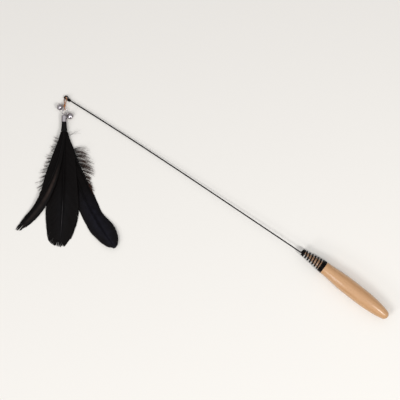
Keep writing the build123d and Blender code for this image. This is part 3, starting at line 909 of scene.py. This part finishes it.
# %% [markdown]
# ## Three feathers
# The three feathers differ: a broad one in the middle, a narrow one that curls to the left, and a long one
# that sweeps to the right and lifts its tip. One set of functions makes all three, and a table describes
# each. Its rows give how far along the shaft they are, the share of the left and of the right vane's full
# width, and the height as a share of the bundle's. Seeds keep the ragged edges the same in every run.

# %% Centre feather
centre_feather = dict(
    length=144.5,
    heading=0.5,
    turn=-5.5,
    left=20.4,
    right=20.7,
    camber=0.05,
    barbs=460,
    fan=34,
    bunches=3,
    gather=0.6,
    round=1.8,
    tatter=2.1,
    fray=1.4,
    barb_width=0.95,
    root_height=4.0,
    # The span of the centre quill that gets the painted highlight.
    painted_light=(0.58, 0.95),
    rows=(
        (0.00, 0.21, 0.21, 1.00),
        (0.06, 0.33, 0.32, 0.99),
        (0.12, 0.46, 0.46, 0.97),
        (0.20, 0.64, 0.62, 0.95),
        (0.30, 0.72, 0.72, 0.92),
        (0.50, 0.90, 0.88, 0.86),
        (0.63, 1.00, 0.99, 0.74),
        (0.70, 1.02, 1.00, 0.65),
        (0.80, 0.96, 0.91, 0.50),
        (0.90, 0.85, 0.71, 0.36),
        (0.94, 0.78, 0.58, 0.31),
        (0.975, 0.60, 0.42, 0.27),
        (1.00, 0.32, 0.25, 0.25),
    ),
)
add_feather("centre", centre_feather, centre_black, seed=11)

# %% Left feather
left_feather = dict(
    length=134.0,
    heading=-6.3,
    turn=-38.0,
    left=8.0,
    right=10.0,
    camber=0.12,
    barbs=420,
    fan=26,
    bunches=2,
    gather=0.5,
    round=6.5,
    tatter=0.75,
    fray=1.5,
    barb_width=0.9,
    root_height=5.7,
    rows=(
        (0.00, 0.50, 0.24, 1.43),
        (0.08, 0.64, 0.26, 1.53),
        (0.15, 0.88, 0.30, 1.60),
        (0.25, 1.05, 0.42, 1.65),
        (0.32, 1.12, 0.50, 1.66),
        (0.46, 1.08, 0.74, 1.58),
        (0.58, 0.70, 0.90, 1.42),
        (0.68, 0.45, 1.00, 1.18),
        (0.80, 0.34, 1.00, 0.82),
        (0.92, 0.44, 0.82, 0.45),
        (1.00, 0.25, 0.58, 0.29),
    ),
)
add_feather("left", left_feather, left_black, seed=23)

# %% Right feather
right_feather = dict(
    length=160.0,
    heading=9.0,
    turn=29.1,
    left=14.0,
    right=15.0,
    camber=0.04,
    barbs=480,
    fan=16,
    bunches=5,
    gather=0.1,
    round=1.2,
    tatter=0.3,
    fray=0.6,
    barb_width=0.95,
    root_height=2.3,
    rows=(
        (0.00, 0.28, 0.28, 0.57),
        (0.06, 0.30, 0.34, 0.50),
        (0.14, 0.36, 0.48, 0.40),
        (0.29, 0.60, 0.62, 0.29),
        (0.43, 0.82, 0.78, 0.25),
        (0.53, 0.90, 0.84, 0.25),
        (0.63, 0.94, 0.80, 0.28),
        (0.72, 0.98, 0.74, 0.40),
        (0.80, 1.00, 0.92, 0.64),
        (0.865, 0.86, 1.00, 0.88),
        (0.925, 0.69, 0.87, 1.12),
        (0.965, 0.49, 0.67, 1.25),
        (1.00, 0.17, 0.32, 1.35),
    ),
)
add_feather("right", right_feather, right_black, seed=37)

# %% [markdown]
# ## Down
# At the root of the fan two small plumes have no firm vane. Their strands stand apart in loose tufts and wave
# about. Hair particles could do that, but they aren't a mesh, so each strand is a thin strip like a barb. A
# real strand is thinner than a tenth of a millimetre, and here it is two or three times as wide, so that it
# shows. Strands of one tuft start close together and share their way, their length and their curl.

# %% Down material
# Dyed down: black at the shaft, and a dull fox brown in patches towards the ends, where the dye took less.
down_blotch = 3.0
fluff, tree, shader = start_material("dark_down", Roughness=0.7, Specular_IOR_Level=0.15)
place = add_node(tree, "ShaderNodeTexCoord").outputs["Object"]
patches = {"Scale": 1 / (down_blotch * mm), "Detail": 2}
blotch = add_node(tree, "ShaderNodeTexNoise", {"Vector": place}, patches).outputs["Fac"]
browns = {6: linear("#1E100B"), 7: linear("#48291A")}
brown = add_node(tree, "ShaderNodeMix", {0: blotch}, browns, data_type="RGBA").outputs[2]
spread = add_node(tree, "ShaderNodeUVMap", uv_map="vane").outputs[0]
outward = add_node(tree, "ShaderNodeSeparateXYZ", {0: spread}).outputs["Y"]
bleached = add_node(tree, "ShaderNodeMapRange", {0: outward}, {1: 0.25, 2: 0.8, 3: 0, 4: 1}).outputs[0]
black = {6: linear("#060403")}
dyed = add_node(tree, "ShaderNodeMix", {0: bleached, 7: brown}, black, data_type="RGBA").outputs[2]
tree.links.new(dyed, shader.inputs["Base Color"])

# %% Strands
down_shaft_radius = 0.25
down_shaft_steps = 30
strand_parts = 8
strand_thickness = 0.1
strand_widths = (0.18, 0.32)
strand_lengths = (0.6, 1.0)
strand_wave = 0.12
strand_tuck = 0.1
strand_roll = 0.6
strand_bend_spread = 0.06
strand_root_spread = 0.005
tuft_bows = (-1.4, 0.8)
tuft_curl_spread = 0.07
tuft_gap_spread = 0.7
longest_tuft = 1.08
wisp_strands = 2


def make_down(shape, seed):
    """One plume: a thin shaft, and strands on one side of it, tuft by tuft, as one bmesh."""
    dice = random.Random(seed)
    place_at = shaft_line(shape)
    shares = [i / down_shaft_steps for i in range(down_shaft_steps + 1)]
    line = [Vector((quill_root, cap_side + shape["side"], shape["root_height"]))]
    line += [place_at(s)[0] for s in shares]
    radii = [1.0] + [1 - quill_taper * s for s in shares]
    bm = swept(line, down_shaft_radius, radii=radii, fineness=1)
    uv = bm.loops.layers.uv.new("vane")
    sign = shape["out"]
    first = shape["first"]
    tufts = shape["tufts"]
    starts = [first + (1 - first) * (i + tuft_gap_spread * dice.random()) / tufts for i in range(tufts)]
    for share in shape["wisps"] + starts:
        way = radians(row_at(shape["ways"], share)[1] + dice.gauss(0, shape["unruly"]))
        reach = row_at(shape["reaches"], share)[1] * dice.uniform(shape["shortest"], longest_tuft)
        curl = row_at(shape["curls"], share)[1] + dice.gauss(0, tuft_curl_spread)
        bow = dice.uniform(*tuft_bows)
        for _ in range(dice.randint(*shape["strands"]) if share > first else wisp_strands):
            spot = min(max(share + dice.gauss(0, strand_root_spread), 0), 1)
            base = place_at(spot)[0]
            turn = way + dice.gauss(0, shape["stray"])
            ahead = Vector((sin(turn), sign * cos(turn), 0))
            aside = Vector((cos(turn), -sign * sin(turn), 0))
            length = reach * dice.uniform(*strand_lengths)
            wave = dice.uniform(0, 2 * pi)
            bend = curl + dice.gauss(0, strand_bend_spread)
            line = []
            spots = []
            for k in range(strand_parts + 1):
                q = k / strand_parts
                sway = bend * q * q * length + strand_wave * sin(wave + 6 * q) * q
                point = base + ahead * length * (q - strand_tuck) + aside * sway
                line.append(point + upright * bow * q * q)
                spots.append((spot, q))
            width = dice.uniform(*strand_widths)
            add_barb(bm, uv, line, width, dice.uniform(-strand_roll, strand_roll), spots)
    return bm


def add_down(side, shape, seed):
    """One plume as a piece, whose strands get their thickness from a modifier."""
    strands = make_down(shape, seed)
    stands_for = (f"down_{side}",)
    piece = add_piece(f"down_strands_{side}", strands, lure_place, fluff, "tassel", stands_for)
    thick = piece.modifiers.new("strand thickness", "SOLIDIFY")
    thick.thickness = strand_thickness * mm
    thick.offset = 0


# %% [markdown]
# ## Two plumes
# The left plume is thin and short. The right one is full, and its strands curl towards the feathers' tips.
# Tables over the share along the shaft give the way that a tuft points in degrees, its curl, its reach in
# millimetres and the shaft's height as a share of the bundle's. Two thin wisps stand alone near the right
# plume's root. Both plumes could share one table, but they differ too much to look right that way.

# %% Left plume
left_plume = dict(
    length=80.0,
    heading=-26.0,
    turn=12.0,
    side=-1.55,
    root_height=3.7,
    out=-1,
    tufts=28,
    strands=(3, 6),
    stray=0.07,
    unruly=13,
    shortest=0.4,
    first=0.12,
    wisps=[],
    ways=((0.0, -28), (0.2, -24), (0.45, -6), (0.7, 14), (1.0, 44)),
    curls=((0.0, 0.0), (0.5, 0.05), (1.0, 0.1)),
    reaches=((0.0, 6.0), (0.15, 9.0), (0.3, 10.0), (0.6, 12.5), (0.85, 13.0), (1.0, 10.5)),
    rows=((0.0, 0.92), (0.15, 0.84), (0.4, 0.74), (0.7, 0.62), (0.9, 0.5), (1.0, 0.45)),
)
add_down("left", left_plume, seed=5)

# %% Right plume
right_plume = dict(
    length=82.0,
    heading=20.0,
    turn=6.0,
    side=1.55,
    root_height=4.3,
    out=1,
    tufts=28,
    strands=(8, 13),
    stray=0.08,
    unruly=8,
    shortest=0.62,
    first=0.295,
    wisps=[0.07, 0.1],
    ways=((0.0, -36), (0.15, -34), (0.3, -18), (0.5, -6), (0.75, 10), (1.0, 42)),
    curls=((0.0, 0.4), (0.3, 0.42), (0.6, 0.28), (1.0, 0.1)),
    reaches=((0.0, 20.0), (0.25, 22.0), (0.4, 25.0), (0.55, 22.0), (0.7, 17.0), (0.85, 12.0), (1.0, 6.0)),
    rows=((0.0, 1.07), (0.12, 0.98), (0.35, 0.74), (0.65, 0.58), (0.88, 0.54), (1.0, 0.54)),
)
add_down("right", right_plume, seed=7)
